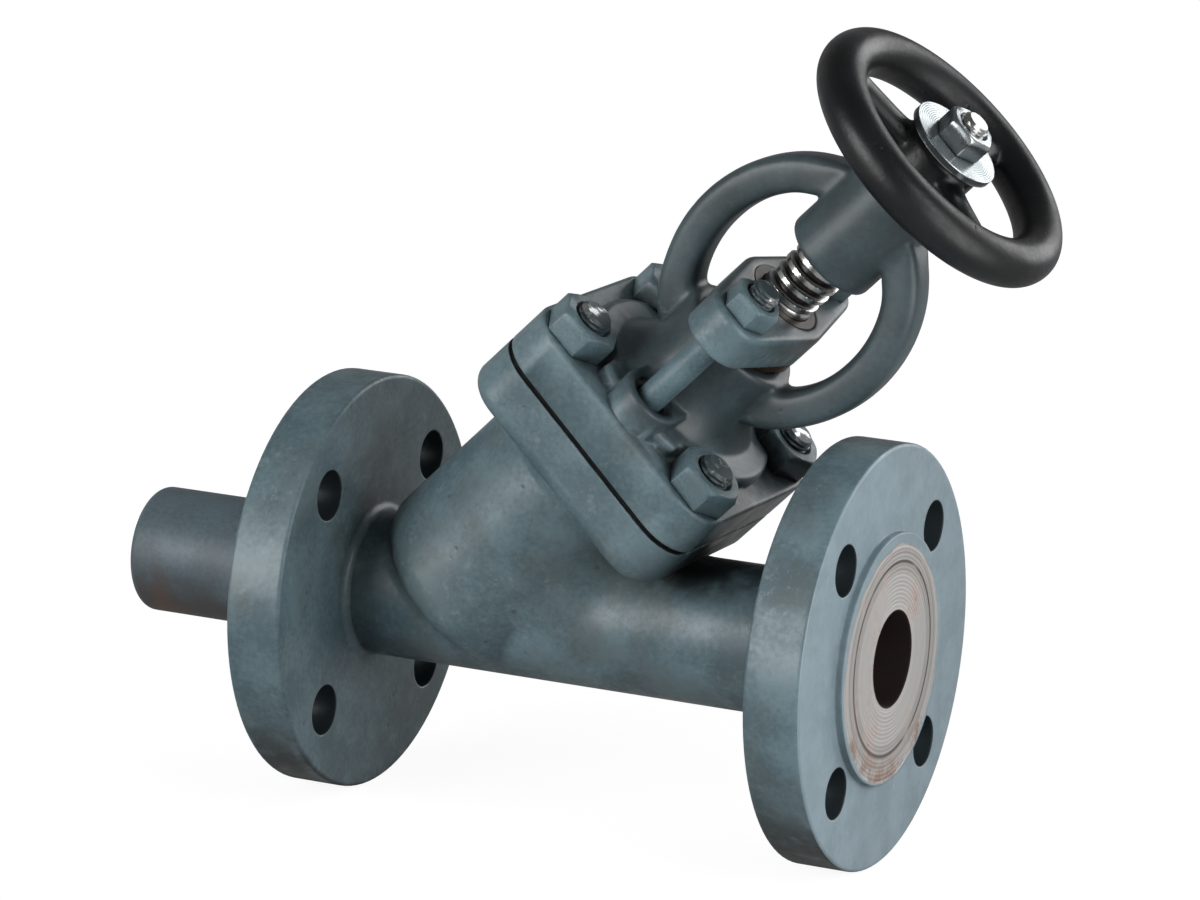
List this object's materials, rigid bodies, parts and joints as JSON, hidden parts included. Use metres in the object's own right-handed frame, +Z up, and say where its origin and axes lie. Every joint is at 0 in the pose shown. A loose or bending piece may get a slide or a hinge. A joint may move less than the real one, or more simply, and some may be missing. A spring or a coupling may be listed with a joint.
{
  "type": "boiler discharge valve",
  "caption": "Oblique flanged stop valve with inlet spigot, rising stem, bolted bonnet, oval yoke, stuffing box with gland, and handwheel; shuts off discharge from a boiler.",
  "frame": {"origin": "centre of the inlet flange's gasket face, on the pipe's axis", "axes": "+X along the pipe towards the outlet, +Y across the pipe away from the front gland nut, +Z up; the stem leans 45 degrees from +Z towards +X"},
  "size_m": [0.2619, 0.115, 0.2244],
  "materials": {
    "enamelled_casting": "blue-grey enamel on cast steel",
    "enamelled_nut": "blue-grey enamel on steel nuts",
    "stud_steel": "plain steel studs",
    "stainless_trim": "machined stainless steel",
    "stem_steel": "greased, machined steel",
    "graphite": "graphite sheet and plaited packing",
    "gunmetal": "machined bronze",
    "black_casting": "rough black paint on cast iron",
    "bright_steel": "bright zinc-plated steel"
  },
  "bodies": {
    "casing": {"valve_body": "enamelled_casting", "inlet_spigot": "enamelled_casting", "seat_ring": "stainless_trim", "back_seat_bush": "stainless_trim", "bonnet_gasket": "graphite", "bonnet_studs": "stud_steel", "bonnet_nuts": "enamelled_nut", "bonnet": "enamelled_casting", "packing_base_ring": "stainless_trim", "packing_rings": "graphite", "gland_studs": "stud_steel", "yoke_bush": "gunmetal", "yoke_bush_screw": "stud_steel"},
    "plug": {"disc": "stainless_trim", "disc_nut": "stainless_trim", "disc_lock_pin": "stud_steel", "thrust_pad": "stainless_trim"},
    "spindle": {"stem": "stem_steel", "handwheel": "black_casting", "wheel_washer": "bright_steel", "wheel_nut": "bright_steel"},
    "gland": {"gland_follower": "gunmetal", "gland_flange": "enamelled_casting"},
    "front_nut": {"gland_nut_front": "enamelled_nut"},
    "back_nut": {"gland_nut_back": "enamelled_nut"}
  },
  "joints": [
    {"name": "stem_lift", "type": "slide", "parent": "casing", "child": "plug", "axis": [0.7071, 0, 0.7071], "range_m": [0, 0.009]},
    {"name": "wheel_turn", "type": "hinge", "parent": "plug", "child": "spindle", "pos_m": [0.043, 0, 0], "axis": [0.7071, 0, 0.7071], "range_deg": [0, 810]},
    {"name": "gland_travel", "type": "slide", "parent": "casing", "child": "gland", "axis": [0.7071, 0, 0.7071], "range_m": [0, 0.003]},
    {"name": "front_nut_turn", "type": "hinge", "parent": "gland", "child": "front_nut", "pos_m": [0.043, -0.0265, 0], "axis": [0.7071, 0, 0.7071], "range_deg": [0, 864]},
    {"name": "back_nut_turn", "type": "hinge", "parent": "gland", "child": "back_nut", "pos_m": [0.043, 0.0265, 0], "axis": [0.7071, 0, 0.7071], "range_deg": [0, 864]}
  ],
  "couplings": [
    {"joint": "wheel_turn", "follows": "stem_lift", "rad_per_m": 1570.8},
    {"joint": "front_nut_turn", "follows": "gland_travel", "rad_per_m": 5026.5},
    {"joint": "back_nut_turn", "follows": "gland_travel", "rad_per_m": 5026.5}
  ]
}
